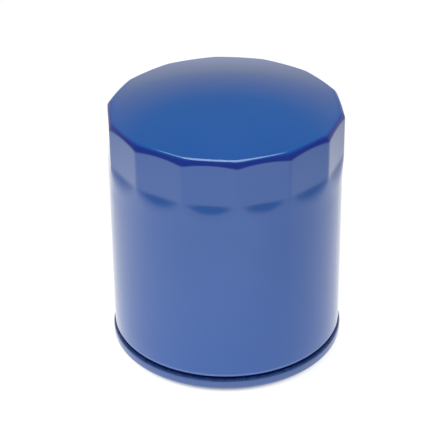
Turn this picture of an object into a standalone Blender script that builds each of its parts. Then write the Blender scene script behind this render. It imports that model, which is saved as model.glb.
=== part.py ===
"""Spin-on oil filter: a fluted steel can, double-seamed to a cover and a threaded tapping plate.

Inside are the pleated element, the by-pass valve, the anti-drain-back valve and the hold-down
spring. The scene is in metres, +Z up, with the origin at the centre of the gasket's sealing face,
which the filter stands on. A ridge between two flutes is on +X, and a flute faces -Y.
The dimensions below are in millimetres, as on a drawing, and the mesh makers scale them by MM.
"""
import math

import bmesh
import bpy
from mathutils import Matrix

MM = 0.001
GAP = 0.3                       # clearance left between pieces that touch

# Can: drawn steel shell, outer skin sizes
CAN_RADIUS = 38.1
CAN_SHEET = 0.45
DOME_TOP = 87.2
DOME_RISE = 1.7
CORNER_RADIUS = 2.6
WALL_BOTTOM = 6.3               # lower edge of the plain wall, above the seam
WALL_EDGE_RADIUS = 0.9
NECK_RADIUS = 36.3              # the can necks in here to reach the seam
NECK_BLEND = 0.5

# Flutes that a cap wrench grips
FLUTES = 14
RIDGE_PROUD = 0.33              # the ridges between flutes stand this far out of the plain wall
FLUTE_DEPTH = 0.96              # depth below the ridges, in the middle of a flute
FLUTE_CORNER_DEPTH = 0.6        # what is left of it round the corner of the dome
FLUTE_BOTTOM = 71.5             # the flat of a flute ends here
FLUTE_RUNOUT = 9.5              # bowl under the flat that runs out into the wall
FLUTE_DOME_REACH = 6.0          # how far the flutes reach in from the corner over the dome

# Double seam
SEAM_RADIUS = 38.65
SEAM_BOTTOM = 1.7
SEAM_TOP = 5.6
COVER_SHEET = 0.5
HOOK_TIP = 4.7                  # upper end of the can's hook
SEAM_CORNER = 1.0               # centreline radius of the folds at the seam's bottom

# Seaming cover inside the seam
GROOVE_FLOOR = 5.1              # centreline height of the sheet above the gasket
RIB_OUTER = 30.2
RIB_INNER = 28.8
RIB_BOTTOM = 2.9
COVER_BEND = 0.5
COVER_HOLE = 25.0

# Gasket
GASKET_OUTER = 34.7
GASKET_INNER = 30.85
GASKET_TOP = 4.55
GASKET_BEVEL = 0.35

# Tapping plate: the filter screws on a stud of M18 x 1.5, and this is the thread's minor radius
PLATE_RADIUS = 35.2
PLATE_BOTTOM = 5.65
PLATE_THICKNESS = 2.8
THREAD_RADIUS = 8.25
NECK_WALL = 2.55
NECK_TOP = 17.0
INLET_HOLES = 8
INLET_CIRCLE = 19.5
INLET_RADIUS = 3.5

# Anti-drain-back valve
VALVE_TOP = 17.6
VALVE_COLLAR = 13.4
VALVE_LIP_RADIUS = 30.6

# Element
CAP_RADIUS = 34.2
CAP_SHEET = 0.5
CAP_RIM = 4.5
LOWER_CAP_BOTTOM = 17.9
LOWER_CAP_HOLE = 11.9
UPPER_CAP_TOP = 74.0
UPPER_CAP_HOLE = 13.2
BOND_THICKNESS = 1.6
TUBE_RADIUS = 14.5
TUBE_SHEET = 0.5
TUBE_HOLE_RADIUS = 2.4
TUBE_HOLE_ROWS = 5
TUBE_HOLES_PER_ROW = 7
PLEATS = 40
PAPER = 0.7
PLEAT_OUTER = 32.4
PLEAT_INNER = 16.0
PLEAT_TIP_HALF = 1.1            # half width of a fold, outside at the tip
PLEAT_VALLEY_HALF = 0.35        # half width of the space between two folds, at its bottom
CLIP_SHEET = 0.4
CLIP_LEG = 6.5

# By-pass valve in the upper end cap
BYPASS_SHEET = 0.6
BYPASS_FLANGE_RADIUS = 16.5
BYPASS_CUP_RADIUS = 12.9
BYPASS_CUP_DEPTH = 4.5
BYPASS_SEAT_RADIUS = 7.5
SEAL_RADIUS = 10.3
SEAL_THICKNESS = 1.2
POPPET_RADIUS = 10.6
POPPET_THICKNESS = 0.8
STEM_RADIUS = 1.5
STEM_HEAD_RADIUS = 3.2
STEM_BOTTOM = 52.0
CAGE_RADIUS = 11.8
CAGE_FLOOR = 54.0
CAGE_WINDOWS = 4
BYPASS_WIRE = 0.65              # wire radius
BYPASS_COIL = 7.2               # coil radius
BYPASS_TURNS = 4

# Hold-down spring between the element and the dome
SPRING_WIRE = 1.0
SPRING_TOP_COIL = 10.5
SPRING_BOTTOM_COIL = 14.4
SPRING_TURNS = 2.5
SPRING_SEAT_TOP = 85.9
SPRING_SEAT_SHEET = 0.6
SPRING_SEAT_RADIUS = 14.0

# Facets
CAN_SEGMENTS = FLUTES * 3
SEGMENTS = FLUTES * 2
SMALL_SEGMENTS = 20
STEM_SEGMENTS = 12

# Heights that follow from the ones above
PLATE_TOP = PLATE_BOTTOM + PLATE_THICKNESS
LOWER_BOND_BOTTOM = LOWER_CAP_BOTTOM + CAP_SHEET + GAP
UPPER_BOND_TOP = UPPER_CAP_TOP - CAP_SHEET - GAP
MEDIA_BOTTOM = LOWER_BOND_BOTTOM + BOND_THICKNESS + GAP
MEDIA_TOP = UPPER_BOND_TOP - BOND_THICKNESS - GAP
BYPASS_FLANGE_TOP = UPPER_CAP_TOP + GAP + BYPASS_SHEET
SEAT_BOTTOM = BYPASS_FLANGE_TOP - BYPASS_CUP_DEPTH
SEAL_TOP = SEAT_BOTTOM - GAP
POPPET_TOP = SEAL_TOP - SEAL_THICKNESS - GAP
POPPET_BOTTOM = POPPET_TOP - POPPET_THICKNESS


# ---------------------------------------------------------------- scene and materials

def clear_scene():
    for obj in list(bpy.data.objects):
        bpy.data.objects.remove(obj, do_unlink=True)


def new_collection(name):
    collection = bpy.data.collections.new(name)
    bpy.context.scene.collection.children.link(collection)
    return collection


def make_material(name, colour, roughness, metallic):
    material = bpy.data.materials.new(name)
    material.use_nodes = True
    shader = material.node_tree.nodes["Principled BSDF"]
    shader.inputs["Base Color"].default_value = (*colour, 1.0)
    shader.inputs["Roughness"].default_value = roughness
    shader.inputs["Metallic"].default_value = metallic
    return material


# ---------------------------------------------------------------- outlines, in millimetres

def arc(centre, radius, start, end, steps=3):
    """Points along an arc from start to end degrees, both ends included."""
    points = []
    for i in range(steps + 1):
        angle = math.radians(start + (end - start) * i / steps)
        points.append((centre[0] + radius * math.cos(angle), centre[1] + radius * math.sin(angle)))
    return points


def unit_normal(a, b):
    """Left-hand normal of the line from a to b."""
    length = math.dist(a, b)
    return ((a[1] - b[1]) / length, (b[0] - a[0]) / length)


def sheet(path, thickness):
    """Closed outline of a sheet of even thickness whose middle follows the path."""
    left = []
    right = []
    for i, (x, z) in enumerate(path):
        first = unit_normal(path[max(i - 1, 0)], path[max(i, 1)])
        last = unit_normal(path[min(i, len(path) - 2)], path[min(i + 1, len(path) - 1)])
        mitre = thickness / (1 + first[0] * last[0] + first[1] * last[1])
        dx = (first[0] + last[0]) * mitre / 2
        dz = (first[1] + last[1]) * mitre / 2
        left.append((x + dx, z + dz))
        right.append((x - dx, z - dz))
    return left + right[::-1]


def box_outline(inner, outer, bottom, top):
    return [(inner, top), (outer, top), (outer, bottom), (inner, bottom)]


def runs_down_outside(outline):
    """The outline turned so that its outer side runs from top to bottom."""
    doubled_area = 0.0
    for (x0, z0), (x1, z1) in zip(outline, outline[1:] + outline[:1]):
        doubled_area += x0 * z1 - x1 * z0
    return outline[::-1] if doubled_area > 0 else outline


# ---------------------------------------------------------------- solids

def add_object(name, mesh, collection, material=None):
    obj = bpy.data.objects.new(name, mesh)
    if material is not None:
        mesh.materials.append(material)
    collection.objects.link(obj)
    return obj


def turned(name, outline, material, segments=SEGMENTS, on_axis=False):
    """Solid of revolution about Z. An outline on the axis starts and ends there."""
    points = runs_down_outside(outline)
    mesh = bpy.data.meshes.new(name)
    last = len(points) - 1 if on_axis else len(points)
    edges = [(i, (i + 1) % len(points)) for i in range(last)]
    mesh.from_pydata([(x * MM, 0.0, z * MM) for x, z in points], edges, [])
    obj = add_object(name, mesh, parts, material)
    screw = obj.modifiers.new("turn", "SCREW")
    screw.axis = "Z"
    screw.angle = math.tau
    screw.steps = segments
    screw.render_steps = segments
    screw.use_merge_vertices = True
    screw.merge_threshold = 0.000001
    screw.use_smooth_shade = True
    return obj


def settle(obj):
    """Replace an object's mesh or curve by the mesh that its modifiers give."""
    graph = bpy.context.evaluated_depsgraph_get()
    mesh = bpy.data.meshes.new_from_object(obj.evaluated_get(graph))
    obj.modifiers.clear()
    obj.data = mesh
    return mesh


def smooth(obj):
    obj.data.shade_smooth()
    obj.data.set_sharp_from_angle(angle=math.radians(35))


def extruded(name, outlines, bottom, top, material):
    """Straight prism between two heights. A second outline is a hole in the first."""
    curve = bpy.data.curves.new(name, "CURVE")
    curve.dimensions = "2D"
    curve.fill_mode = "BOTH"
    curve.extrude = (top - bottom) / 2 * MM
    for outline in outlines:
        spline = curve.splines.new("POLY")
        spline.points.add(len(outline) - 1)
        for point, (x, y) in zip(spline.points, outline):
            point.co = (x * MM, y * MM, 0.0, 1.0)
        spline.use_cyclic_u = True
    obj = add_object(name, curve, parts, material)
    obj.location.z = (top + bottom) / 2 * MM
    return obj


def coil(name, wire, bottom, top, bottom_radius, top_radius, turns, points_per_turn, material):
    """Coil spring with its end turns closed flat."""
    curve = bpy.data.curves.new(name, "CURVE")
    curve.dimensions = "3D"
    curve.bevel_depth = wire * MM
    curve.bevel_resolution = 2
    curve.use_fill_caps = True
    count = round(turns * points_per_turn) + 1
    spline = curve.splines.new("POLY")
    spline.points.add(count - 1)
    flat_share = 0.6 / turns
    for i, point in enumerate(spline.points):
        share = i / (count - 1)
        rise = min(max((share - flat_share) / (1 - 2 * flat_share), 0.0), 1.0)
        radius = bottom_radius + (top_radius - bottom_radius) * share
        angle = math.tau * turns * share
        point.co = (
            radius * math.cos(angle) * MM,
            radius * math.sin(angle) * MM,
            (bottom + (top - bottom) * rise) * MM,
            1.0,
        )
    return add_object(name, curve, parts, material)


def cut(obj, cutter):
    boolean = obj.modifiers.new("cut", "BOOLEAN")
    boolean.operation = "DIFFERENCE"
    boolean.solver = "EXACT"
    boolean.object = cutter


def new_cutter(name, shapes):
    """One wire-shown object made of the shapes that the given function adds to a bmesh."""
    mesh = bpy.data.meshes.new(name)
    made = bmesh.new()
    shapes(made)
    made.to_mesh(mesh)
    made.free()
    obj = add_object(name, mesh, cutters)
    obj.hide_render = True
    obj.display_type = "WIRE"
    return obj


# ---------------------------------------------------------------- can, cover and base

def flute_recess(angle, radius, height):
    """How far the skin is pressed in at an angle, a radius and a height: less than 0 on a ridge."""
    across = ((angle * FLUTES / math.tau) % 1.0) * 2.0 - 1.0
    share = 1.0 - across * across
    if height < FLUTE_BOTTOM:
        drop = FLUTE_BOTTOM - height
        left = max(1.0 - drop / max(FLUTE_RUNOUT * math.sqrt(share), GAP), 0.0)
        proud = max(1.0 - drop / FLUTE_RUNOUT, 0.0)
        return FLUTE_DEPTH * share * left * left - RIDGE_PROUD * proud
    corner_start = CAN_RADIUS - CORNER_RADIUS
    if radius < corner_start:
        left = max(1.0 - (corner_start - radius) / FLUTE_DOME_REACH, 0.0)
        return FLUTE_CORNER_DEPTH * share * left * left
    climb = max((height - DOME_TOP + DOME_RISE) / CORNER_RADIUS + 1.0, 0.0)
    depth = FLUTE_DEPTH + (FLUTE_CORNER_DEPTH - FLUTE_DEPTH) * min(climb, 1.0)
    return depth * share - RIDGE_PROUD * (1.0 - min(climb, 1.0))


def can_skin():
    """Outer skin of the can in section, from the top of the dome to the tip of the hook."""
    corner_start = CAN_RADIUS - CORNER_RADIUS
    corner_top = DOME_TOP - DOME_RISE
    points = []
    for share in (0.0, 0.45, 0.84):
        points.append((corner_start * share, DOME_TOP - DOME_RISE * share * share))
    points += arc((corner_start, corner_top - CORNER_RADIUS), CORNER_RADIUS, 90, 0)
    for share in (0.0, 0.2, 0.5, 1.0):
        points.append((CAN_RADIUS, FLUTE_BOTTOM - FLUTE_RUNOUT * share))
    edge = (CAN_RADIUS - WALL_EDGE_RADIUS, WALL_BOTTOM + WALL_EDGE_RADIUS)
    points += arc(edge, WALL_EDGE_RADIUS, 0, -90, 2)
    points += arc((NECK_RADIUS + NECK_BLEND, WALL_BOTTOM - NECK_BLEND), NECK_BLEND, 90, 180, 1)
    pocket = 2 * GAP + COVER_SHEET
    hook_floor = SEAM_BOTTOM + COVER_SHEET + GAP + CAN_SHEET
    centre = (NECK_RADIUS + pocket / 2, hook_floor + pocket / 2)
    points += arc(centre, pocket / 2, 180, 360, 4)
    points.append((NECK_RADIUS + pocket, HOOK_TIP))
    return points


def offset_inward(skin):
    """The far side of the can's sheet, from the hook's tip back to the dome."""
    double = sheet(skin, 2 * CAN_SHEET)
    far_side = double[len(skin):]
    far_side[-1] = (0.0, DOME_TOP - CAN_SHEET)
    return far_side


def make_can(material):
    skin = can_skin()
    can = turned("can", skin + offset_inward(skin), material, CAN_SEGMENTS, on_axis=True)
    mesh = settle(can)
    for vertex in mesh.vertices:
        x, y, z = vertex.co
        radius = math.hypot(x, y)
        if radius < MM:
            continue
        recess = flute_recess(math.atan2(y, x), radius / MM, z / MM) * MM
        vertex.co.x = x * (radius - recess) / radius
        vertex.co.y = y * (radius - recess) / radius
    smooth(can)


def make_seaming_cover(material):
    """Thin cover: hooked into the can at its edge, then chuck wall, gasket groove and rib."""
    half = COVER_SHEET / 2
    hook = NECK_RADIUS + GAP + half
    wall = SEAM_RADIUS - half
    top = (wall - hook) / 2
    chuck = NECK_RADIUS - CAN_SHEET - GAP - half
    low = SEAM_BOTTOM + half + SEAM_CORNER
    path = [(hook, SEAM_BOTTOM + COVER_SHEET + CAN_SHEET + 4 * GAP)]
    path += arc((hook + top, SEAM_TOP - half - top), top, 180, 0, 4)
    path += arc((wall - SEAM_CORNER, low), SEAM_CORNER, 0, -90)
    path += arc((chuck + SEAM_CORNER, low), SEAM_CORNER, -90, -180)
    path += arc((chuck - COVER_BEND, GROOVE_FLOOR - COVER_BEND), COVER_BEND, 0, 90, 1)
    rib = (RIB_OUTER - RIB_INNER) / 2
    path += arc((RIB_OUTER + COVER_BEND, GROOVE_FLOOR - COVER_BEND), COVER_BEND, 90, 180, 1)
    path += arc((RIB_INNER + rib, RIB_BOTTOM + rib), rib, 0, -180, 3)
    path += arc((RIB_INNER - COVER_BEND, GROOVE_FLOOR - COVER_BEND), COVER_BEND, 0, 90, 1)
    path.append((COVER_HOLE, GROOVE_FLOOR))
    turned("seaming_cover", sheet(path, COVER_SHEET), material, CAN_SEGMENTS)


def make_seam_sealant(material):
    """Bead of sealing compound at the bottom of the pocket that the cover's hook sits in."""
    inner = NECK_RADIUS + GAP
    bottom = SEAM_BOTTOM + COVER_SHEET + CAN_SHEET + 2 * GAP
    bead = box_outline(inner, inner + COVER_SHEET, bottom, bottom + GAP)
    turned("seam_sealant", bead, material, CAN_SEGMENTS)


def make_tapping_plate(material):
    """Thick plate with an extruded, threaded neck and a ring of oil inlet holes."""
    neck = THREAD_RADIUS + NECK_WALL
    outline = [
        (THREAD_RADIUS, NECK_TOP - 0.7),
        (THREAD_RADIUS + 0.7, NECK_TOP),
        (neck, NECK_TOP),
        (neck, PLATE_TOP + 1.2),
        (neck + 1.2, PLATE_TOP),
        (PLATE_RADIUS, PLATE_TOP),
        (PLATE_RADIUS, PLATE_BOTTOM),
        (THREAD_RADIUS + 1.0, PLATE_BOTTOM),
        (THREAD_RADIUS, PLATE_BOTTOM + 1.0),
    ]
    plate = turned("tapping_plate", outline, material)

    def holes(made):
        for i in range(INLET_HOLES):
            angle = math.tau * (i + 0.5) / INLET_HOLES
            ring = bmesh.ops.create_cone(
                made, cap_ends=True, segments=12, radius1=INLET_RADIUS * MM,
                radius2=INLET_RADIUS * MM, depth=3 * PLATE_THICKNESS * MM)
            middle = (
                INLET_CIRCLE * math.cos(angle) * MM,
                INLET_CIRCLE * math.sin(angle) * MM,
                (PLATE_BOTTOM + PLATE_TOP) / 2 * MM,
            )
            bmesh.ops.translate(made, verts=ring["verts"], vec=middle)

    cut(plate, new_cutter("inlet_hole_cutter", holes))


def make_gasket(material):
    outline = [
        (GASKET_INNER, GASKET_TOP),
        (GASKET_OUTER, GASKET_TOP),
        (GASKET_OUTER, GASKET_BEVEL),
        (GASKET_OUTER - GASKET_BEVEL, 0.0),
        (GASKET_INNER + GASKET_BEVEL, 0.0),
        (GASKET_INNER, GASKET_BEVEL),
    ]
    turned("gasket", outline, material)


def make_anti_drainback_valve(material):
    """Rubber collar on the plate's neck, with a conical flap that covers the inlet holes."""
    bore = THREAD_RADIUS + NECK_WALL + GAP
    outline = [
        (bore, VALVE_TOP),
        (VALVE_COLLAR - 0.4, VALVE_TOP),
        (VALVE_COLLAR, VALVE_TOP - 0.4),
        (VALVE_COLLAR, 14.4),
        (VALVE_COLLAR + 1.0, 13.3),
        (VALVE_LIP_RADIUS - 2.0, 10.0),
        (VALVE_LIP_RADIUS, 9.8),
        (VALVE_LIP_RADIUS, PLATE_TOP + GAP + 0.3),
        (VALVE_LIP_RADIUS - 0.6, PLATE_TOP + GAP),
        (VALVE_LIP_RADIUS - 2.4, PLATE_TOP + GAP + 0.3),
        (VALVE_COLLAR + 0.6, 12.2),
        (bore, 12.4),
    ]
    turned("anti_drainback_valve", outline, material)


# ---------------------------------------------------------------- element

def make_end_caps(material):
    """Pressed steel caps that hold the element's ends, rims facing each other."""
    edge = CAP_RADIUS - CAP_SHEET / 2
    level = LOWER_CAP_BOTTOM + CAP_SHEET / 2
    path = [(LOWER_CAP_HOLE, level)] + arc((edge - 1, level + 1), 1.0, -90, 0, 2)
    path.append((edge, LOWER_CAP_BOTTOM + CAP_RIM))
    turned("lower_end_cap", sheet(path, CAP_SHEET), material)
    level = UPPER_CAP_TOP - CAP_SHEET / 2
    path = [(UPPER_CAP_HOLE, level)] + arc((edge - 1, level - 1), 1.0, 90, 0, 2)
    path.append((edge, UPPER_CAP_TOP - CAP_RIM))
    turned("upper_end_cap", sheet(path, CAP_SHEET), material)


def make_bonds(material):
    """Cured plastisol between each cap and the ends of the pleats."""
    inner = TUBE_RADIUS + GAP
    outer = CAP_RADIUS - CAP_SHEET - 1.0 - GAP
    lower = box_outline(inner, outer, LOWER_BOND_BOTTOM, LOWER_BOND_BOTTOM + BOND_THICKNESS)
    upper = box_outline(inner, outer, UPPER_BOND_TOP - BOND_THICKNESS, UPPER_BOND_TOP)
    turned("lower_bond", lower, material)
    turned("upper_bond", upper, material)


def make_center_tube(material):
    inner = TUBE_RADIUS - TUBE_SHEET
    outline = box_outline(inner, TUBE_RADIUS, LOWER_BOND_BOTTOM, UPPER_BOND_TOP)
    tube = turned("center_tube", outline, material)
    row_step = (MEDIA_TOP - MEDIA_BOTTOM) / (TUBE_HOLE_ROWS + 0.5)

    def holes(made):
        for row in range(TUBE_HOLE_ROWS):
            height = MEDIA_BOTTOM + row_step * (row + 0.75)
            for i in range(TUBE_HOLES_PER_ROW):
                angle = math.tau * (i + 0.5 * (row % 2)) / TUBE_HOLES_PER_ROW
                ring = bmesh.ops.create_cone(
                    made, cap_ends=True, segments=8, radius1=TUBE_HOLE_RADIUS * MM,
                    radius2=TUBE_HOLE_RADIUS * MM, depth=5 * MM)["verts"]
                bmesh.ops.rotate(made, verts=ring, matrix=turn(math.pi / 2, "Y"))
                bmesh.ops.translate(made, verts=ring, vec=(inner * MM, 0.0, height * MM))
                bmesh.ops.rotate(made, verts=ring, matrix=turn(angle, "Z"))

    cut(tube, new_cutter("tube_hole_cutter", holes))


def make_pleated_media(material):
    """Filter paper folded into radial pleats with square folds."""
    pitch = math.tau / PLEATS

    def fold(radius, middle, half_width, order):
        half_angle = math.asin(half_width / radius)
        return [on_circle(radius, middle + side * half_angle) for side in order]

    outside = []
    inside = []
    for i in range(PLEATS):
        tip = i * pitch
        valley = tip + pitch / 2
        outside += fold(PLEAT_OUTER, tip, PLEAT_TIP_HALF, (-1, 1))
        outside += fold(PLEAT_INNER + PAPER, valley, PLEAT_VALLEY_HALF, (-1, 1))
        inside += fold(PLEAT_OUTER - PAPER, tip, PLEAT_TIP_HALF - PAPER, (-1, 1))
        inside += fold(PLEAT_INNER, valley, PLEAT_VALLEY_HALF + PAPER, (-1, 1))
    extruded("pleated_media", [outside, inside], MEDIA_BOTTOM, MEDIA_TOP, material)


def make_media_seam_clip(material):
    """Folded strip that grips the pleat on +X, where the paper's two ends meet."""
    half_in = PLEAT_TIP_HALF + GAP
    half_out = half_in + CLIP_SHEET
    back_in = PLEAT_OUTER + GAP
    back_out = back_in + CLIP_SHEET
    legs = back_out - CLIP_LEG
    outline = [
        (legs, -half_out), (back_out, -half_out), (back_out, half_out), (legs, half_out),
        (legs, half_in), (back_in, half_in), (back_in, -half_in), (legs, -half_in),
    ]
    extruded("media_seam_clip", [outline], MEDIA_BOTTOM, MEDIA_TOP, material)


# ---------------------------------------------------------------- by-pass valve

def make_bypass_body(material):
    """Flanged cup that hangs in the upper end cap, with the valve's seat as its floor."""
    wall = BYPASS_CUP_RADIUS - BYPASS_SHEET / 2
    flange = BYPASS_FLANGE_TOP - BYPASS_SHEET / 2
    floor = SEAT_BOTTOM + BYPASS_SHEET / 2
    path = [(BYPASS_FLANGE_RADIUS, flange)]
    path += arc((wall + 0.4, flange - 0.4), 0.4, 90, 180, 1)
    path += [(wall, floor), (BYPASS_SEAT_RADIUS, floor)]
    turned("bypass_body", sheet(path, BYPASS_SHEET), material, SMALL_SEGMENTS)


def make_bypass_poppet(metal, rubber):
    """Seal, backing plate and guide stem, which open downward together."""
    hole = STEM_RADIUS + GAP
    seal = box_outline(hole, SEAL_RADIUS, SEAL_TOP - SEAL_THICKNESS, SEAL_TOP)
    turned("bypass_seal", seal, rubber, SMALL_SEGMENTS)
    poppet = [
        (hole, POPPET_TOP),
        (POPPET_RADIUS - 0.3, POPPET_TOP),
        (POPPET_RADIUS, POPPET_TOP - 0.3),
        (POPPET_RADIUS, POPPET_BOTTOM),
        (hole + 2.6, POPPET_BOTTOM),
        (hole + 2.0, POPPET_BOTTOM - 1.2),
        (hole, POPPET_BOTTOM - 1.2),
    ]
    turned("bypass_poppet", poppet, metal, SMALL_SEGMENTS)
    head = SEAL_TOP + GAP
    stem = [
        (0.0, head + 1.0),
        (STEM_HEAD_RADIUS - 1.2, head + 0.9),
        (STEM_HEAD_RADIUS, head + 0.3),
        (STEM_HEAD_RADIUS, head),
        (STEM_RADIUS, head),
        (STEM_RADIUS, STEM_BOTTOM + 0.5),
        (STEM_RADIUS - 0.5, STEM_BOTTOM),
        (0.0, STEM_BOTTOM),
    ]
    turned("bypass_stem", stem, metal, STEM_SEGMENTS, on_axis=True)


def make_bypass_cage(material):
    """Windowed cup under the seat that holds the valve's spring and guides its stem."""
    top = SEAT_BOTTOM - GAP
    wall = CAGE_RADIUS - BYPASS_SHEET / 2
    path = [(BYPASS_CUP_RADIUS, top - BYPASS_SHEET / 2), (wall, top - BYPASS_SHEET / 2)]
    path.append((wall, CAGE_FLOOR + BYPASS_SHEET / 2))
    path.append((STEM_RADIUS + GAP + 0.1, CAGE_FLOOR + BYPASS_SHEET / 2))
    cage = turned("bypass_cage", sheet(path, BYPASS_SHEET), material, SMALL_SEGMENTS)
    window_bottom = CAGE_FLOOR + 2.5
    window_top = top - 3.0

    def windows(made):
        for i in range(CAGE_WINDOWS):
            angle = math.tau * (i + 0.5) / CAGE_WINDOWS
            block = bmesh.ops.create_cube(made, size=MM)["verts"]
            bmesh.ops.scale(made, verts=block, vec=(6.0, 9.6, window_top - window_bottom))
            middle = (CAGE_RADIUS * MM, 0.0, (window_bottom + window_top) / 2 * MM)
            bmesh.ops.translate(made, verts=block, vec=middle)
            bmesh.ops.rotate(made, verts=block, matrix=turn(angle, "Z"))

    cut(cage, new_cutter("cage_window_cutter", windows))


def make_springs(material):
    spring_bottom = CAGE_FLOOR + BYPASS_SHEET + GAP + BYPASS_WIRE
    spring_top = POPPET_BOTTOM - GAP - BYPASS_WIRE
    coil("bypass_spring", BYPASS_WIRE, spring_bottom, spring_top, BYPASS_COIL, BYPASS_COIL,
         BYPASS_TURNS, 10, material)
    spring_bottom = BYPASS_FLANGE_TOP + GAP + SPRING_WIRE
    spring_top = SPRING_SEAT_TOP - SPRING_SEAT_SHEET - GAP - SPRING_WIRE
    coil("hold_down_spring", SPRING_WIRE, spring_bottom, spring_top, SPRING_BOTTOM_COIL,
         SPRING_TOP_COIL, SPRING_TURNS, 14, material)


def make_spring_seat(material):
    """Pressed washer under the dome, with a lip that centres the spring from inside."""
    level = SPRING_SEAT_TOP - SPRING_SEAT_SHEET / 2
    lip = SPRING_TOP_COIL - SPRING_WIRE - 1.2
    path = [(SPRING_SEAT_RADIUS, level)] + arc((lip + 0.5, level - 0.5), 0.5, 90, 180, 2)
    path.append((lip, level - 2.0))
    turned("spring_seat", sheet(path, SPRING_SEAT_SHEET), material, SMALL_SEGMENTS)


# ---------------------------------------------------------------- small geometry helpers

def on_circle(radius, angle):
    return (radius * math.cos(angle), radius * math.sin(angle))


def turn(angle, axis):
    return Matrix.Rotation(angle, 3, axis)


# ---------------------------------------------------------------- build

clear_scene()
parts = new_collection("oil_filter")
cutters = new_collection("cutters")

blue_enamel = make_material("blue_enamel", (0.02, 0.09, 0.42), 0.22, 0.0)
plate_steel = make_material("plate_steel", (0.42, 0.42, 0.41), 0.42, 1.0)
tin_plate = make_material("tin_plate", (0.62, 0.62, 0.60), 0.30, 1.0)
spring_steel = make_material("spring_steel", (0.22, 0.22, 0.24), 0.35, 1.0)
black_rubber = make_material("black_rubber", (0.02, 0.02, 0.02), 0.6, 0.0)
valve_rubber = make_material("valve_rubber", (0.45, 0.09, 0.03), 0.55, 0.0)
sealing_compound = make_material("sealing_compound", (0.25, 0.25, 0.22), 0.7, 0.0)
plastisol = make_material("plastisol", (0.30, 0.34, 0.36), 0.6, 0.0)
filter_paper = make_material("filter_paper", (0.75, 0.62, 0.36), 0.9, 0.0)

make_can(blue_enamel)
make_seaming_cover(blue_enamel)
make_seam_sealant(sealing_compound)
make_tapping_plate(plate_steel)
make_gasket(black_rubber)
make_anti_drainback_valve(valve_rubber)
make_end_caps(tin_plate)
make_bonds(plastisol)
make_center_tube(tin_plate)
make_pleated_media(filter_paper)
make_media_seam_clip(tin_plate)
make_bypass_body(tin_plate)
make_bypass_poppet(tin_plate, black_rubber)
make_bypass_cage(tin_plate)
make_springs(spring_steel)
make_spring_seat(tin_plate)
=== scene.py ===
"""Looks of the spin-on oil filter: blue enamelled can, rolled seam, gasket end and the parts inside.

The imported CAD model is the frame. Sizes below are in millimetres and the mesh makers scale them by
MM; radii and heights come from the CAD nodes' boxes, and inner sizes that a box can't tell are
named here. +Z runs up the can's axis, a ridge between two flutes is on +X, a flute faces -Y.
"""

import math

import bmesh
import bpy
from mathutils import Matrix, Vector


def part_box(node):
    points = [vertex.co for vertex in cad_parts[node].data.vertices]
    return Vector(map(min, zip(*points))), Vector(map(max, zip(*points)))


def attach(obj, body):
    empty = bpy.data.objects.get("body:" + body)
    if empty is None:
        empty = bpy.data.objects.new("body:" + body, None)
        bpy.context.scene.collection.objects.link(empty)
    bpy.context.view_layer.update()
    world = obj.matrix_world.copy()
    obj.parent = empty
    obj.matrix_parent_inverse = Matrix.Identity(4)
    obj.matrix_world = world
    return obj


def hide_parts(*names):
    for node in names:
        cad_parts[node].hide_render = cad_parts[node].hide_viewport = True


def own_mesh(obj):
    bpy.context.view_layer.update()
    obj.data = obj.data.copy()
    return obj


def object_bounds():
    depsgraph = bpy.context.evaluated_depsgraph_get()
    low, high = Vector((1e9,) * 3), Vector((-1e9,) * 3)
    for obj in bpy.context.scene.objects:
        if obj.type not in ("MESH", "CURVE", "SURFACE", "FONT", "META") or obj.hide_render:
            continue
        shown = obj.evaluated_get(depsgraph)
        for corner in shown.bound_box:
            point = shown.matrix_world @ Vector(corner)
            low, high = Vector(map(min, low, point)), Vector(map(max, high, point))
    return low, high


MM = 0.001

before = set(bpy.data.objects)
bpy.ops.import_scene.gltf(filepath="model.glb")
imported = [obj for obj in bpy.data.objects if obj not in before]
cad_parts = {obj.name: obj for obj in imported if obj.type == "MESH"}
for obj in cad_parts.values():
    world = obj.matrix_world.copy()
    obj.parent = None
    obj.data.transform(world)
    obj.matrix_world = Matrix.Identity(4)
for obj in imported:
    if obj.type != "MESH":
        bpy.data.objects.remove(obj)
cad_low, cad_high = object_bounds()


class Extent:
    """Outer radius, bottom and top of a CAD node, in millimetres."""

    def __init__(self, node):
        low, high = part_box(node)
        self.radius = high.x / MM
        self.bottom = low.z / MM
        self.top = high.z / MM
        self.height = self.top - self.bottom


# ---- sizes that no box tells

GAP = 0.3  # clearance that the CAD keeps between pieces that touch
EDGE_BREAK = 0.35  # chamfer on drilled holes

CAN_SHEET = 0.45
DOME_RISE = 1.7
FLUTES = 14
RIDGE_PROUD = 0.33  # the ridges stand this far out of the plain wall
CORNER = 2.5  # corner radius on a ridge
CORNER_FLUTE_DOWN = 1.6  # and the corner's reach downward in the middle of a flute
CORNER_SET_BACK = 0.42  # where the dome ends this much further in than at a ridge
FLUTE_DEPTH = 0.96
FLUTE_BOTTOM = 71.0
FLUTE_RUNOUT = 11.0
WALL_BOTTOM = 6.3
WALL_EDGE_RADIUS = 0.9
NECK_RADIUS = 36.3
NECK_BLEND = 0.5
SEAM_POCKET = 1.1
HOOK_TIP = 4.7

COVER_SHEET = 0.5
SEAM_CORNER = 1.0
GROOVE_FLOOR = 5.1
RIB_OUTER = 30.2
RIB_INNER = 28.8
RIB_BOTTOM = 2.9
COVER_BEND = 0.5
COVER_HOLE = 25.0
SPOT_WELDS = 8
WELD_CIRCLE = 26.6
WELD_RADIUS = 1.3
WELD_DEPTH = 0.14

GASKET_INNER = 30.85
THREAD_CREST = 8.25
THREAD_DEPTH = 0.75
THREAD_PITCH = 1.5
NECK_WALL = 2.55
PLATE_THICKNESS = 2.8
INLET_HOLES = 8
INLET_CIRCLE = 19.5
INLET_RADIUS = 3.5
VALVE_COLLAR = 13.4

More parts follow.
